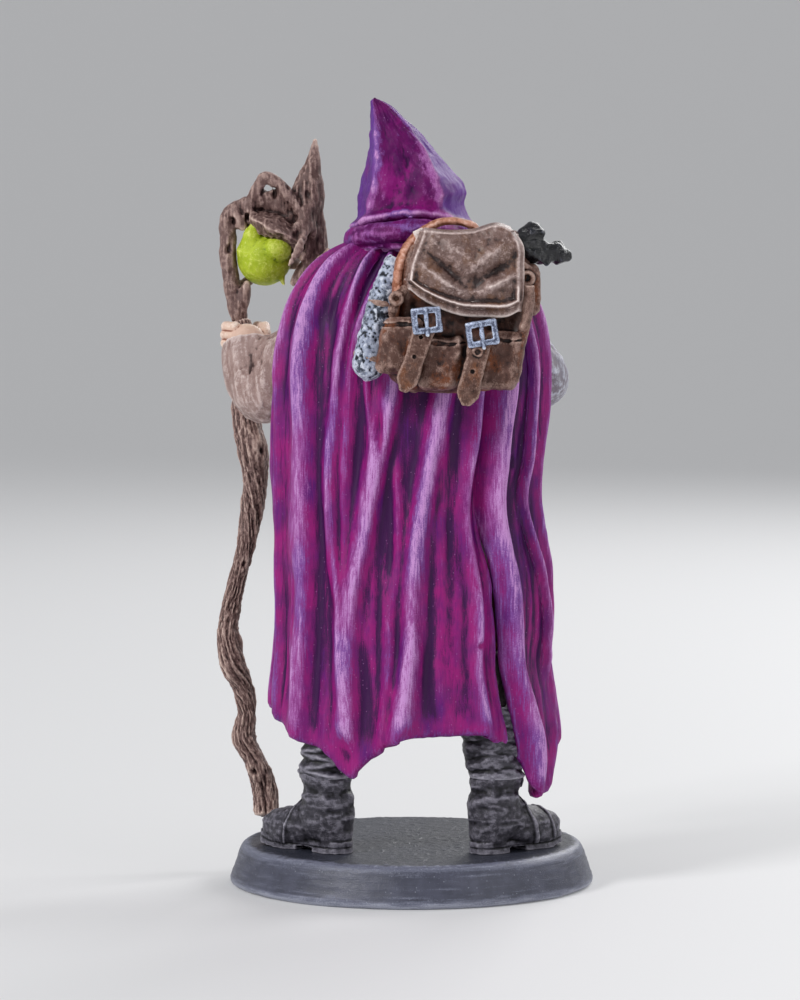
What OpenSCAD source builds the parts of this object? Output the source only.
// Painted tabletop figure: a hooded traveller with a root staff and a pack, on a round base.
// Millimetres. The base's underside lies on Z = 0 and is centred on the origin. The figure faces -Y.
// Every module below base_disc() is drawn in the figure's own frame, whose Z = 0 is the top of the base.

/* [Base] */
// Diameter of the base at its foot
base_d = 25; // [24:0.5:32]
// Diameter of the flat top of the base
base_top_d = 23; // [22:0.5:30]
// Height of the base
base_h = 2.8; // [2.4:0.1:5]
// Radius of the peg under each boot
peg_r = 0.75; // [0.5:0.05:1]
// Radial clearance of a peg in its socket
peg_gap = 0.05; // [0.02:0.01:0.1]

/* [Boots and legs] */
// Length of a boot from heel to toe
boot_l = 7.8; // [7:0.1:8.5]
// Half width of the sole at the ball of the foot
boot_half_w = 1.5; // [1.2:0.1:1.7]
// Height of a boot's plain shaft
boot_h = 5.8; // [5:0.1:6.5]
// Height where the wrapped gaiter ends
gaiter_top = 9.8; // [9:0.1:10.5]

/* [Cloak] */
// Half of the cloak's width below the shoulders
cloak_half_w = 9.1; // [8.8:0.1:9.6]
// Depth of the cloak's back at the hem, from the body's axis
hem_depth = 6.6; // [6:0.1:7.5]
// Depth of the cloak's back between the shoulder blades
back_depth = 5.0; // [4.6:0.1:5.4]
// Thickness of the cloak's wall
cloak_wall = 0.8; // [0.6:0.05:1]
// Height of the hem at the middle of the back
hem_z = 8.0; // [7:0.1:10]
// Height where the slit in the hem ends
slit_top_z = 18; // [14:0.5:22]

/* [Hood] */
// Height of the hood's tip above the base
hood_tip_z = 51; // [48:0.5:54]
// How far the tip leans to the figure's left
hood_lean = 2.5; // [0:0.1:4]
// Thickness of the hood's wall
hood_wall = 0.6; // [0.5:0.05:0.8]

/* [Pack] */
// Width of the pack
pack_w = 8.6; // [7.5:0.1:9]
// Height of the pack
pack_h = 10.2; // [9:0.1:11]
// Depth of the pack without its flap
pack_d = 3.6; // [3:0.1:4]
// Lean of the pack to the figure's right, in degrees
pack_tilt = 8; // [0:1:12]

/* [Staff] */
// Radius of the orb
orb_r = 1.95; // [1.6:0.05:2.1]
// Thickness of the staff as a share of its nominal thickness
staff_girth = 1; // [0.8:0.05:1.2]

/* [Hidden] */
$fn = 32;

// Body and cloak stations.
body_y = 1.5;
shoulder_z = 28.2;
cape_h = 13.6;
cape_stop = 70;
neck_z = shoulder_z + cape_h * pow(sin(cape_stop), 0.625);
straight_share = 0.55;
cloak_cols = 52;
cloak_rows = 20;
slit_col = 15;
// The cloak's right side curves in by this much at this height.
waist_in = 0.7;
waist_z = 25;
// Each fold: angle at the hem, angle at the shoulder, half width in degrees, height.
folds = [
    [-86, -80, 7, 0.45], [-64, -58, 8, 0.55], [-28, -34, 9, 0.6], [-2, -16, 9, 0.8],
    [30, 24, 8, 0.6], [52, 48, 7, 0.6], [78, 72, 8, 0.5], [98, 94, 6, 0.4]
];

// Boots: heel position and heading of each, in degrees from +X.
left_heel = [4.3, 6.2];
left_heading = -42;
right_heel = [-4.2, 6.4];
right_heading = 222;
ankle_x = 2.0;
foot_r = 1.35;
shaft_r = 1.75;
leg_top = 13;

// Staff: stations of position and radius from the foot to the top of the stem.
staff_y = -5.2;
staff_stations = [
    [10.1, 0.9, 0.75], [10.3, 2.7, 0.8], [10.9, 4.8, 0.65], [11.8, 6.5, 0.7], [11.5, 8.2, 0.6],
    [11.8, 10, 0.65], [12.5, 11.7, 0.8], [12.9, 13.6, 0.75], [12.6, 15.6, 0.6], [12.1, 17.8, 0.5],
    [11.5, 20.2, 0.55], [11.1, 22.6, 0.75], [10.9, 25, 0.8], [11.2, 27.2, 0.95], [11.6, 29.2, 0.85],
    [11.6, 32, 0.65], [11.5, 34.4, 0.6], [11.8, 36.2, 0.6], [12.3, 38, 0.65], [12.7, 40, 0.75],
    [12.8, 42, 0.7], [12.7, 43.4, 0.65]
];
orb_at = [10.3, staff_y, 40];

// Pack: the middle of its inner face.
pack_at = [-3.2, 6.6, 36.5];
flap_t = 0.6;
strap_t = 0.45;
strap_w = 1.7;

function mix(a, b, t) = a + (b - a) * t;
function bump(x, w) = exp(-pow(x / w, 2));
function ease(t) = let (c = min(max(t, 0), 1)) c * c * (3 - 2 * c);

// An upright ellipse of n points from a station [x, y, z, half width, half depth].
function ring(s, n = 24) = [
    for (k = [0:n - 1]) let (a = 360 * k / n) [s[0] + s[3] * cos(a), s[1] + s[4] * sin(a), s[2]]
];

// A solid through flat rings of equal point count, listed from the lowest up.
module loft(rings) {
    n = len(rings[0]);
    m = len(rings);
    sides = [
        for (i = [0:m - 2], j = [0:n - 1])
            let (k = (j + 1) % n)
                each [[i * n + j, (i + 1) * n + k, i * n + k], [i * n + j, (i + 1) * n + j, (i + 1) * n + k]]
    ];
    lids = [[for (j = [0:n - 1]) j], [for (j = [n - 1:-1:0]) (m - 1) * n + j]];
    polyhedron([for (r = rings) each r], concat(lids, sides));
}

// A wall between two grids of points with the same rows and columns. A cell that keep() drops is open,
// and every open side gets an edge face. wrap joins the last column to the first.
module wall(outer, inner, keep = function (i, j) true, wrap = false) {
    m = len(outer);
    n = len(outer[0]);
    cells = wrap ? n : n - 1;
    off = m * n;
    at = function (i, j) i * n + j % n;
    has = function (i, j)
        i < 0 || i > m - 2 ? false
        : !wrap && (j < 0 || j > n - 2) ? false
        : keep(i, (j + cells) % cells);
    faces = [
        for (i = [0:m - 2], j = [0:cells - 1])
            if (has(i, j))
                let (a = at(i, j), b = at(i, j + 1), c = at(i + 1, j + 1), d = at(i + 1, j))
                    each [
                        [a, c, b], [a, d, c], [off + a, off + b, off + c], [off + a, off + c, off + d],
                        if (!has(i - 1, j)) each [[a, b, off + b], [a, off + b, off + a]],
                        if (!has(i + 1, j)) each [[c, d, off + d], [c, off + d, off + c]],
                        if (!has(i, j - 1)) each [[d, a, off + a], [d, off + a, off + d]],
                        if (!has(i, j + 1)) each [[b, c, off + c], [b, off + c, off + b]]
                    ]
    ];
    polyhedron([for (r = outer) each r, for (r = inner) each r], faces);
}

// A chain of rounded links through stations [x, y, z, radius].
module limb(stations, sides = 10) {
    for (i = [0:len(stations) - 2])
        hull()
            for (s = [stations[i], stations[i + 1]])
                translate([s[0], s[1], s[2]]) sphere(s[3], $fn = sides);
}

// A flat ribbon through points, w wide and t thick, whose width lies along the direction across.
module ribbon(points, w, t, across = [1, 0, 0]) {
    for (i = [0:len(points) - 2])
        hull()
            for (p = [points[i], points[i + 1]], side = [-1, 1])
                translate(p + across * side * (w - t) / 2) sphere(t / 2, $fn = 8);
}

// ---- Base ----

module base_profile() {
    bevel = 0.25;
    polygon([
        [0, 0], [base_d / 2 - bevel, 0], [base_d / 2, bevel], [base_top_d / 2 + bevel / 2, base_h - bevel],
        [base_top_d / 2 - bevel, base_h], [0, base_h]
    ]);
}

function peg_spot(heel, heading) = heel + ankle_x * [cos(heading), sin(heading)];

module base_disc() {
    socket = 1.6;
    color([0.1, 0.11, 0.14])
        difference() {
            rotate_extrude($fn = 96) base_profile();
            for (p = [peg_spot(left_heel, left_heading), peg_spot(right_heel, right_heading)])
                translate([p[0], p[1], base_h - socket]) cylinder(r = peg_r + peg_gap, h = socket + 1);
        }
}

// ---- Boots and legs ----

// One boot along +X from its heel, with its sole on Z = 0.
module boot() {
    sole_t = 0.5;
    peg_l = 1.5;
    toe_x = boot_l - 1.2;
    hull() {
        translate([foot_r, 0, 0]) cylinder(r = foot_r, h = sole_t);
        translate([toe_x - 1.2, 0, 0]) cylinder(r = boot_half_w, h = sole_t);
        translate([toe_x, 0, 0]) cylinder(r = 1.2, h = sole_t);
    }
    hull() {
        translate([foot_r + 0.1, 0, sole_t]) cylinder(r = foot_r - 0.1, h = 1.2);
        translate([toe_x - 1.2, 0, sole_t]) cylinder(r = boot_half_w - 0.15, h = 0.6);
        translate([toe_x, 0, sole_t + 0.45]) sphere(1.05, $fn = 20);
        translate([3.4, 0, 2.2]) sphere(1.1, $fn = 20);
    }
    hull() {
        translate([ankle_x, 0, 1.4]) cylinder(r = 1.6, h = 1.2);
        translate([ankle_x, 0, boot_h - 0.1]) cylinder(r = shaft_r, h = 0.1);
    }
    translate([ankle_x, 0, -peg_l]) cylinder(r = peg_r, h = peg_l + 1);
}

module left_boot() {
    color([0.3, 0.3, 0.34]) translate([left_heel[0], left_heel[1], 0]) rotate(left_heading) boot();
}

module right_boot() {
    color([0.3, 0.3, 0.34]) translate([right_heel[0], right_heel[1], 0]) rotate(right_heading) boot();
}

// Cloth wound round the leg above a boot: three soft rolls.
module gaiter(foot, knee) {
    rows = 12;
    loft([
        for (i = [0:rows])
            let (t = i / rows, r = shaft_r + 0.1 + 0.16 * abs(sin(540 * t)))
                ring([mix(foot[0], knee[0], t), mix(foot[1], knee[1], t), mix(boot_h, gaiter_top, t), r, r], 20)
    ]);
}

left_ankle = peg_spot(left_heel, left_heading);
right_ankle = peg_spot(right_heel, right_heading);
left_knee = [5.2, 4.2];
right_knee = [-4.9, 4.4];

module left_gaiter() { color([0.33, 0.32, 0.36]) gaiter(left_ankle, left_knee); }
module right_gaiter() { color([0.33, 0.32, 0.36]) gaiter(right_ankle, right_knee); }

module leg(knee, hip) {
    loft([
        ring([knee[0], knee[1], gaiter_top, 1.6, 1.6]),
        ring([mix(knee[0], hip[0], 0.4), mix(knee[1], hip[1], 0.4), 11.4, 1.8, 1.8]),
        ring([hip[0], hip[1], leg_top, 1.9, 1.9])
    ]);
}

module left_leg() { color([0.2, 0.18, 0.19]) leg(left_knee, [4.3, 3.4]); }
module right_leg() { color([0.2, 0.18, 0.19]) leg(right_knee, [-4.2, 3.5]); }

// ---- Robe and belt ----

robe_top_z = 39.4;
robe_stations = [
    [0, 1.2, leg_top, 6.9, 4.7], [0, 1.0, 17, 6.4, 4.3], [0, 0.8, 21.5, 5.2, 3.8], [0, 0.7, 23.4, 5.0, 3.6],
    [0, 0.6, 27, 5.3, 3.7], [0, 0.5, 32, 5.9, 3.8], [0, 0.4, 36, 5.6, 3.5], [0.1, 0.2, 38.2, 3.8, 2.8],
    [0.2, 0, robe_top_z, 2.2, 2.1]
];

module robe() { color([0.36, 0.25, 0.2]) loft([for (s = robe_stations) ring(s, 32)]); }

// The robe's outline at waist height, grown by g.
function waist(z, g) =
    let (t = (z - 21.5) / 1.9) [0, mix(0.8, 0.7, t), z, mix(5.2, 5.0, t) + g, mix(3.8, 3.6, t) + g];

module belt() {
    low = 21.6;
    high = 23.3;
    color([0.25, 0.15, 0.1])
        wall(
            [for (z = [low, high]) ring(waist(z, 0.55), 32)], [for (z = [low, high]) ring(waist(z, 0.05), 32)],
            wrap = true
        );
}

// A rectangular frame with a bar up its middle, standing in the XZ plane with its face on -Y.
module buckle(w, h, t) {
    rim = 0.32;
    difference() {
        cube([w, t, h], center = true);
        for (side = [-1, 1])
            translate([side * (w - rim) / 4, 0, 0]) cube([(w - 3 * rim) / 2, 2 * t, h - 2 * rim], center = true);
    }
}

module belt_buckle() {
    color([0.6, 0.62, 0.66]) translate([0, 0.75 - 3.65 - 0.85, 22.45]) buckle(2.6, 2.1, 0.5);
}

module belt_pouch() {
    color([0.42, 0.27, 0.18])
        hull() {
            translate([4.2, -3.35, 19.6]) sphere(1.05, $fn = 20);
            translate([3.2, -3.9, 19.7]) sphere(0.95, $fn = 20);
            translate([3.8, -3.75, 21.2]) cube([1.9, 0.7, 0.4], center = true);
        }
}

// ---- Cloak ----

// Height of the hem at angle a, which is 0 at the middle of the back and positive to the figure's left.
function hem_at(a) =
    hem_z - 2.4 * bump(a - 27, 13) + 0.8 * bump(a - 70, 22) - (a < -44 ? 4.2 * bump(a + 66, 22) : 0);

// How far round the cloak reaches on each side at height z: it closes over the shoulders.
function reach(z) = mix(102, 155, ease((z - 34) / 4.5));

function fold_sum(a, v) =
    let (calm = 1 - 0.75 * ease((v - 0.5) / 0.2) * bump(a + 22, 45))
    calm * ease((1.02 - v) / 0.2)
        * [for (f = folds) f[3] * bump(a - mix(f[0], f[1], v), f[2])] * [for (f = folds) 1];

// A point on the cloak at angle a and share v of its height, lifted off its face by lift.
function cloak_point(a, v, lift = 0) =
    let (
        low = v < straight_share,
        t = v / straight_share,
        p = cape_stop * (v - straight_share) / (1 - straight_share),
        z = low ? mix(hem_at(a), shoulder_z, t) : shoulder_z + cape_h * pow(sin(p), 0.625),
        shrink = low ? 1 : pow(cos(p), 0.909),
        depth = low ? mix(hem_depth, back_depth, ease(t)) : back_depth * mix(shrink, 1, 0.12),
        half_w = cloak_half_w - (a < 0 ? waist_in * bump(z - waist_z, 6) : 0),
        up = low ? 0 : lift * sin(p),
        grow = fold_sum(a, v) + (low ? lift : lift * cos(p))
    )
    [(half_w * shrink + grow) * sin(a), body_y + (depth + grow) * cos(a), z + up];

// The angle of grid column j: columns on each side of the slit part towards the hem.
function column_angle(j, v) =
    let (
        edge = reach(mix(hem_z, neck_z, v)),
        plain = mix(-edge, edge, j / cloak_cols),
        part = mix(2.2, -1.3, ease(v / straight_share)),
        near = exp(-abs(j - slit_col - 0.5) / 3)
    )
    plain + (j > slit_col ? part : -part) * near;

function cloak_grid(lift) = [
    for (i = [0:cloak_rows])
        let (v = i / cloak_rows) [for (j = [0:cloak_cols]) cloak_point(column_angle(j, v), v, lift)]
];

slit_rows = floor(straight_share * cloak_rows * (slit_top_z - hem_z) / (shoulder_z - hem_z));

module cloak() {
    color([0.5, 0.12, 0.45])
        wall(cloak_grid(0), cloak_grid(-cloak_wall), keep = function (i, j) j != slit_col || i >= slit_rows);
}

module cloak_clasp() {
    color([0.72, 0.6, 0.3])
        translate([0.2, -3.1, 38.2]) rotate([100, 0, 0]) {
            cylinder(r = 0.9, h = 0.5);
            translate([0, 0, 0.3]) sphere(0.5);
        }
}

// ---- Hood and head ----

// Stations up the hood: share of its height, left edge and right edge as seen from behind, half depth, depth centre.
hood_foot_z = 40.9;
hood_stations = [
    [0, 3.9, -3.6, 4.5, 0.7], [0.18, 3.8, -3.6, 4.5, 0.7], [0.38, 3.5, -3.4, 4.2, 0.8], [0.5, 3.3, -2.5, 3.6, 1.0],
    [0.65, 3.1, -1.3, 2.8, 1.4], [0.8, 2.9, 0.2, 1.7, 2.0], [0.92, 2.8, 1.4, 0.9, 2.4], [1, 2.7, 2.3, 0.3, 2.6]
];
hood_cols = 36;
face_cols = 5;
face_rows = 4;
face_h = 0.56;
face_half_angle = 58;

// Half angle of the face opening at share v of the hood's height: an arch that closes at face_h.
function face_angle(v) = face_half_angle * sqrt(max(1 - pow(v / face_h, 2.5), 0.02));

// Angle of hood column k, with columns 0 to face_cols spread over the opening's half.
function hood_angle(k, v) =
    let (half = hood_cols / 2, j = k > half ? hood_cols - k : k, w = v < face_h ? face_angle(v) : mix(8, 50, v))
    (k > half ? -1 : 1) * (j < face_cols ? w * j / face_cols : mix(w, 180, (j - face_cols) / (half - face_cols)));

function hood_ring(s, inset) =
    let (
        z = mix(hood_foot_z, hood_tip_z, s[0]),
        lean = hood_lean / 2.5,
        w = max((s[1] - s[2]) / 2 - inset, 0.05),
        d = max(s[3] - inset, 0.05)
    )
    [
        for (k = [0:hood_cols - 1])
            let (a = hood_angle(k, s[0]))
                [(s[1] + s[2]) / 2 * lean + w * sin(a), s[4] - d * cos(a), z - inset * 0.8 * s[0]]
    ];

module hood() {
    smooth = [
        for (i = [0:len(hood_stations) - 2], h = [0, 0.5])
            [for (k = [0:4]) mix(hood_stations[i][k], hood_stations[i + 1][k], h)],
        hood_stations[len(hood_stations) - 1]
    ];
    top_row = 2 * face_rows;
    color([0.48, 0.12, 0.44])
        union() {
            wall(
                [for (s = smooth) hood_ring(s, 0)], [for (s = smooth) hood_ring(s, hood_wall)],
                keep = function (i, j) i >= top_row || (j >= face_cols && j < hood_cols - face_cols), wrap = true
            );
            translate([2.5 * hood_lean / 2.5, 2.6, hood_tip_z - 0.45]) sphere(0.4, $fn = 12);
        }
}

// The rolled edge that lies round the neck under the hood.
module hood_cowl() {
    turns = 16;
    span = 118;
    color([0.42, 0.08, 0.36])
        limb([
            for (k = [0:turns])
                let (a = mix(-span, span, k / turns))
                    [0.2 + 4.0 * sin(a), 1.0 + 4.7 * cos(a), 40.1 + 0.6 * cos(a), 0.72]
        ], 8);
}

module head() {
    color([0.8, 0.62, 0.52])
        union() {
            loft([
                for (s = [
                    [0.2, -2.3, 40.2, 0.75, 0.8], [0.2, -1.9, 40.7, 1.4, 1.6], [0.2, -1.6, 41.6, 1.75, 2.1],
                    [0.2, -1.4, 42.8, 1.95, 2.4], [0.2, -1.3, 44, 2.0, 2.45], [0.2, -1.1, 45, 1.7, 2.1],
                    [0.2, -1.0, 45.8, 0.9, 1.2]
                ]) ring(s)
            ]);
            hull() {
                translate([0.2, -4.1, 42.3]) sphere(0.32, $fn = 12);
                translate([0.2, -3.7, 43.4]) sphere(0.2, $fn = 12);
            }
            translate([0.2, -0.9, robe_top_z]) cylinder(r = 1.15, h = 2);
        }
}

// ---- Arms ----

module left_sleeve() {
    color([0.55, 0.45, 0.4])
        limb([[5.2, -0.5, 35.9, 1.7], [10.0, -1.7, 30.8, 2.0], [11.2, -3.3, 32.7, 1.65]], 20);
}

// A closed hand round an upright grip: palm, four curled fingers and a thumb. side is 1 or -1.
module fist(side) {
    grip = 1.05;
    limb([[0, 1.5, -0.6, 0.75], [0, 1.5, 0.5, 0.75]]);
    for (k = [0:3])
        let (z = 0.72 - 0.48 * k)
            limb([[side * 0.7, 1.2, z, 0.33], [side * 1.15, 0.1, z, 0.3], [side * 0.5, -0.95, z, 0.28]], 8);
    limb([[-side * 0.6, 1.3, 0.7, 0.36], [-side * 1.1, 0.2, 0.95, 0.3], [-side * 0.5, -grip + 0.1, 0.9, 0.27]], 8);
}

module left_hand() { color([0.86, 0.74, 0.66]) translate([11.5, staff_y, 34.6]) fist(1); }

module right_sleeve() {
    color([0.62, 0.56, 0.52])
        limb([[-5.2, -0.5, 35.9, 1.7], [-8.6, -1.9, 31.6, 1.9], [-6.1, -5.0, 32.9, 1.4]], 20);
}

module right_hand() {
    color([0.86, 0.74, 0.66]) translate([-4.7, -5.6, 34.3]) rotate([0, -35, 60]) fist(-1);
}

// ---- Staff ----

module staff_shaft() {
    color([0.42, 0.33, 0.3]) {
        limb([for (s = staff_stations) [s[0], staff_y, s[1], s[2] * staff_girth]], 8);
        translate([staff_stations[0][0], staff_y, 0.1]) cylinder(r = 0.7 * staff_girth, h = 1);
    }
}

// A root that bends over the orb on a circle of radius r, tilted about X, from angle a0 to a1.
module root_arc(r, a0, a1, tilt, thick) {
    steps = 7;
    translate(orb_at)
        rotate([tilt, 0, 0])
            limb([
                for (k = [0:steps])
                    let (t = k / steps, a = mix(a0, a1, t)) [r * cos(a), 0, r * sin(a), mix(thick, 0.55 * thick, t)]
            ], 8);
}

module staff_crown() {
    shell_r = orb_r + 0.75;
    color([0.45, 0.36, 0.33])
        union() {
            root_arc(shell_r, 150, 20, 0, 0.95);
            root_arc(shell_r, 165, 30, 40, 0.85);
            root_arc(shell_r, 165, -10, -48, 0.7);
            root_arc(shell_r, 125, 55, 75, 0.7);
            root_arc(shell_r, 75, -60, -75, 0.6);
            limb([[12.6, staff_y, 43.6, 0.65], [11.4, staff_y, 43.9, 0.6], [10, staff_y - 0.2, 43.2, 0.7]], 8);
            limb([
                [10.9, staff_y + 0.9, 43.2, 0.5], [10.5, staff_y + 1.1, 45.5, 0.5], [9.5, staff_y + 1.1, 45.1, 0.5],
                [7.6, staff_y + 0.6, 42.3, 0.6]
            ], 8);
            limb([
                [7.2, staff_y, 40.6, 0.75], [7.3, staff_y, 42.8, 1.1], [7.0, staff_y, 45.2, 0.75],
                [6.5, staff_y, 48.2, 0.15]
            ], 8);
        }
}

module orb() { color([0.62, 0.72, 0.12]) translate(orb_at) sphere(orb_r, $fn = 48); }

// ---- Pack ----

// Places children in the pack's frame: X across, Y away from the back, Z up, origin in the middle of its inner face.
module on_pack() { translate(pack_at) rotate([0, pack_tilt, 0]) children(); }

module rounded_slab(w, d, h, r) {
    hull()
        for (x = [-1, 1], y = [r, d - r], z = [-1, 1])
            translate([x * (w / 2 - r), y, z * (h / 2 - r)]) sphere(r, $fn = 16);
}

module pack_body() {
    color([0.3, 0.18, 0.13])
        on_pack() {
            translate([0, 0, -0.6]) rounded_slab(pack_w, pack_d, pack_h - 1.2, 0.8);
            for (x = [-2, 2])
                translate([x, 0.6, -2.6]) rounded_slab(3.7, pack_d - 0.2, 4.2, 0.8);
        }
}

module pack_flap() {
    color([0.5, 0.4, 0.36])
        on_pack() {
            hull() {
                translate([0.1, pack_d / 2, pack_h / 2 - 0.45]) cube([pack_w - 0.9, pack_d + 2 * flap_t, 0.5], center = true);
                translate([0.1, pack_d / 2, pack_h / 2 - 1.05]) cube([pack_w - 0.6, pack_d + 2 * flap_t, 0.1], center = true);
            }
            hull() {
                translate([-3.2, pack_d + flap_t / 2 + 0.05, 0.5]) sphere(flap_t / 2, $fn = 12);
                translate([3.6, pack_d + flap_t / 2 + 0.05, 0.7]) sphere(flap_t / 2, $fn = 12);
                translate([0, pack_d + flap_t / 2 + 0.25, -0.3]) sphere(flap_t / 2, $fn = 12);
                translate([0.1, pack_d + flap_t / 2, pack_h / 2 - 1]) cube([pack_w - 0.6, flap_t, 0.1], center = true);
            }
        }
}

module pack_side_pocket() {
    color([0.36, 0.2, 0.12])
        on_pack() translate([-pack_w / 2 - 0.62, pack_d / 2 + 0.2, 0.6]) rotate([0, 0, 90]) rounded_slab(2.2, 1.1, 4.2, 0.5);
}

// A hanging strap end on the pack's face at x, leaning with the pack.
module flap_strap(x, z0, z1) {
    on_pack()
        hull() {
            translate([x, pack_d + strap_t / 2 + 0.05, z0]) cube([strap_w - 0.1, strap_t, 0.2], center = true);
            translate([x + 0.5, pack_d + strap_t / 2 + 0.45, z1 + 0.6]) cube([strap_w, strap_t, 0.2], center = true);
            translate([x + 0.6, pack_d + strap_t / 2 + 0.45, z1]) cube([0.5, strap_t, 0.2], center = true);
        }
}

module left_flap_strap() { color([0.44, 0.32, 0.27]) flap_strap(2.0, -0.9, -5.6); }
module right_flap_strap() { color([0.44, 0.32, 0.27]) flap_strap(-2.0, -1.5, -6.1); }

module left_buckle() {
    color([0.55, 0.58, 0.66]) on_pack() translate([2.1, pack_d + strap_t + 0.35, -1.3]) rotate([0, 8, 0]) buckle(2.2, 1.7, 0.4);
}

module right_buckle() {
    color([0.55, 0.58, 0.66]) on_pack() translate([-1.9, pack_d + strap_t + 0.35, -2.0]) rotate([0, 8, 0]) buckle(2.2, 1.8, 0.4);
}

// The leather band round the top of the pack's back edge.
module pack_top_band() {
    color([0.6, 0.36, 0.26])
        on_pack()
            ribbon([
                [pack_w / 2 + 0.35, 0.9, -1.5], [pack_w / 2 + 0.4, 0.8, 2.2], [pack_w / 2 - 0.4, 0.7, 4.6],
                [1.6, 0.6, 5.9], [-0.9, 0.6, 6.1], [-2.6, 0.7, 5.35]
            ], 1.3, 0.5, [0, 1, 0]);
}

// A strap laid on the cloak through [angle, share of height] pairs.
module strap_on_cloak(route) {
    limb([for (q = route) let (p = cloak_point(q[0], q[1], 0.35)) [p[0], p[1], p[2], 0.32]], 8);
}

module left_shoulder_strap() {
    color([0.4, 0.26, 0.18]) strap_on_cloak([[20, 0.86], [50, 0.93], [80, 0.93], [112, 0.86], [128, 0.79], [136, 0.72]]);
}

module right_shoulder_strap() {
    color([0.4, 0.26, 0.18]) strap_on_cloak([[-54, 0.82], [-74, 0.84], [-94, 0.84], [-114, 0.81], [-128, 0.77], [-136, 0.72]]);
}

// ---- Things on the pack ----

roll_top = [1.95, 8.5, 39.6];
roll_foot = [3.35, 8.5, 32];
roll_r = 1.1;
roll_l = norm(roll_top - roll_foot);
roll_lean = atan2(roll_top[0] - roll_foot[0], roll_top[2] - roll_foot[2]);

module on_roll() { translate(roll_foot) rotate([0, roll_lean, 0]) children(); }

module bedroll() {
    color([0.66, 0.7, 0.8])
        on_roll()
            rotate_extrude($fn = 40)
                polygon([[0, 0], [roll_r - 0.25, 0], [roll_r, 0.25], [roll_r, roll_l - 0.25], [roll_r - 0.25, roll_l], [0, roll_l]]);
}

module bedroll_ties() {
    color([0.35, 0.24, 0.18])
        on_roll()
            for (z = [1.3, 6.0])
                translate([0, 0, z])
                    rotate_extrude($fn = 40) translate([roll_r + 0.02, -0.25]) square([0.22, 0.5]);
}

module tie_ring() {
    color([0.42, 0.3, 0.24])
        translate([2.0, 9.9, 37.4]) rotate([90, 0, 0]) rotate_extrude($fn = 32) translate([0.5, 0]) circle(0.22, $fn = 16);
}

module hide_bundle() {
    color([0.08, 0.09, 0.11])
        union() {
            limb([[-7.9, 8.2, 40.2, 0.9], [-7.8, 8.2, 41.5, 1.15], [-8.4, 8.0, 41.2, 1.0]], 12);
            limb([[-8.6, 8.0, 40.1, 0.8], [-9.6, 7.8, 40.2, 0.95]], 12);
        }
}

// ---- Assembly ----

module on_base() { translate([0, 0, base_h]) children(); }

base_disc();
on_base() left_boot();
on_base() right_boot();
on_base() left_gaiter();
on_base() right_gaiter();
on_base() left_leg();
on_base() right_leg();
on_base() robe();
on_base() belt();
on_base() belt_buckle();
on_base() belt_pouch();
on_base() cloak();
on_base() cloak_clasp();
on_base() hood();
on_base() hood_cowl();
on_base() head();
on_base() left_sleeve();
on_base() left_hand();
on_base() right_sleeve();
on_base() right_hand();
on_base() staff_shaft();
on_base() staff_crown();
on_base() orb();
on_base() pack_body();
on_base() pack_flap();
on_base() pack_side_pocket();
on_base() left_flap_strap();
on_base() right_flap_strap();
on_base() left_buckle();
on_base() right_buckle();
on_base() pack_top_band();
on_base() left_shoulder_strap();
on_base() right_shoulder_strap();
on_base() bedroll();
on_base() bedroll_ties();
on_base() tie_ring();
on_base() hide_bundle();
